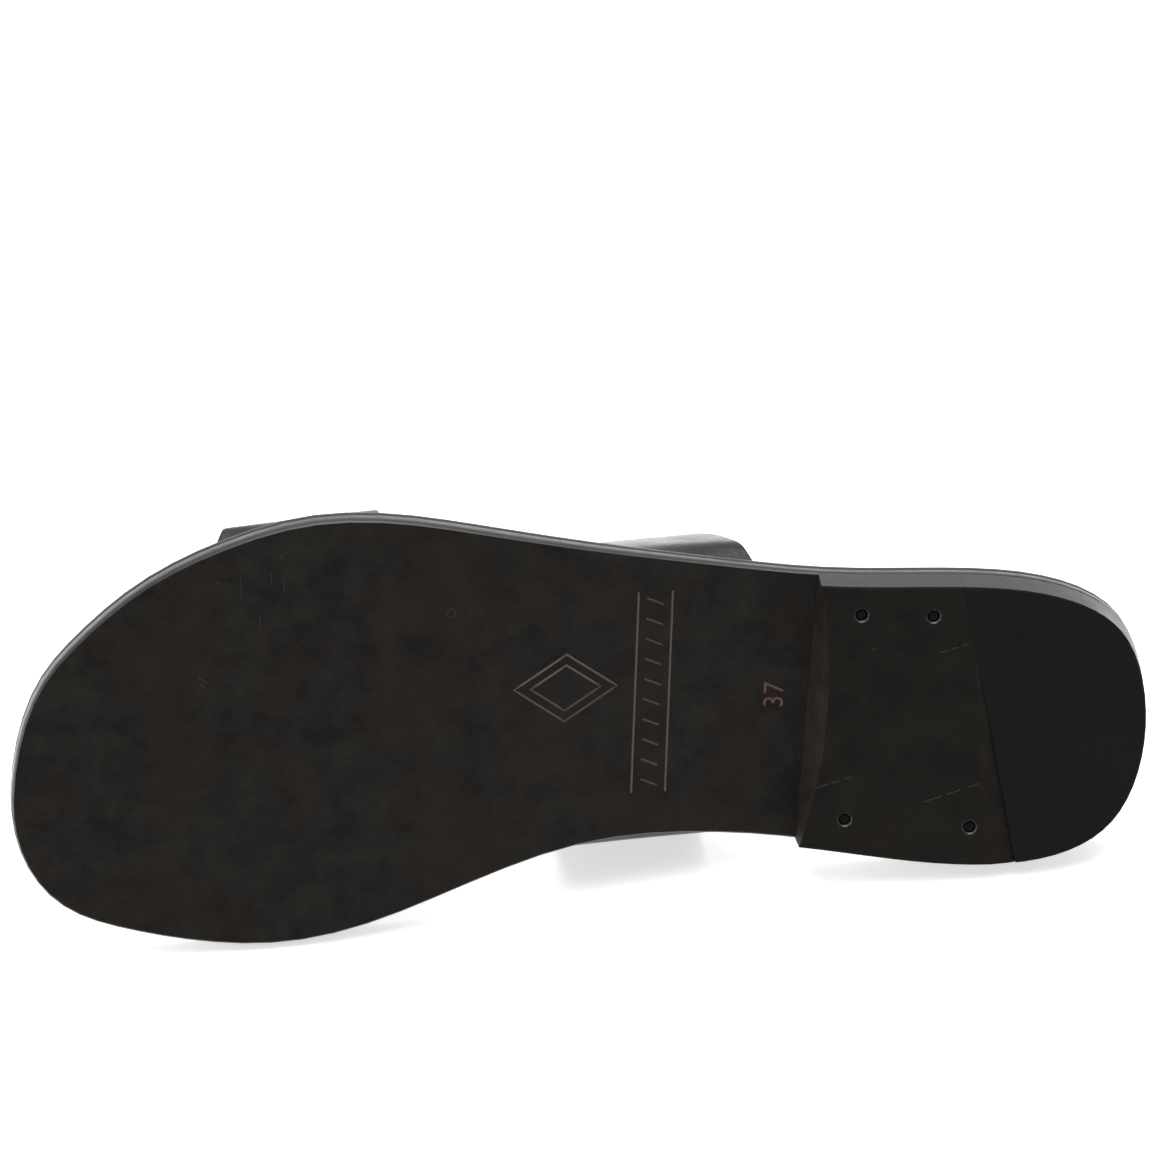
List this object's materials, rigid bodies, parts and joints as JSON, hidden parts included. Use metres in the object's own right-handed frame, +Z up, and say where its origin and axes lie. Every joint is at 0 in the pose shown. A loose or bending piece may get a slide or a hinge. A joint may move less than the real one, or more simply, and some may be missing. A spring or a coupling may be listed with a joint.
{
  "type": "roman sandal",
  "caption": "Left leather sandal with a wide band over the toes, a wide band over the instep, a flat leather sole and a low heel with a rubber back.",
  "frame": {"origin": "middle of the bounding box, on the floor that the sandal lies on", "axes": "+X along the sole from toe to heel, +Z up from the floor, the sole's tread facing -Y and a little up"},
  "size_m": [0.2508, 0.0768, 0.094],
  "materials": {
    "sole_leather": "near-black brown sole leather, waxed and softly mottled, painted edge",
    "insole_leather": "dark leather cover with a painted edge",
    "band_leather": "black smooth leather, glossy, lined and topstitched",
    "heel_leather": "dark brown heel leather, satin, scratched",
    "heel_rubber": "fine-grained dark grey rubber, dull",
    "nail_metal": "dull darkened steel"
  },
  "bodies": {
    "root": {"outsole": "sole_leather", "insole": "insole_leather", "front_band": "band_leather", "instep_band": "band_leather", "heel_leather": "heel_leather", "heel_rubber": "heel_rubber", "heel_nail_1": "nail_metal", "heel_nail_2": "nail_metal", "heel_nail_3": "nail_metal", "heel_nail_4": "nail_metal"}
  },
  "joints": []
}
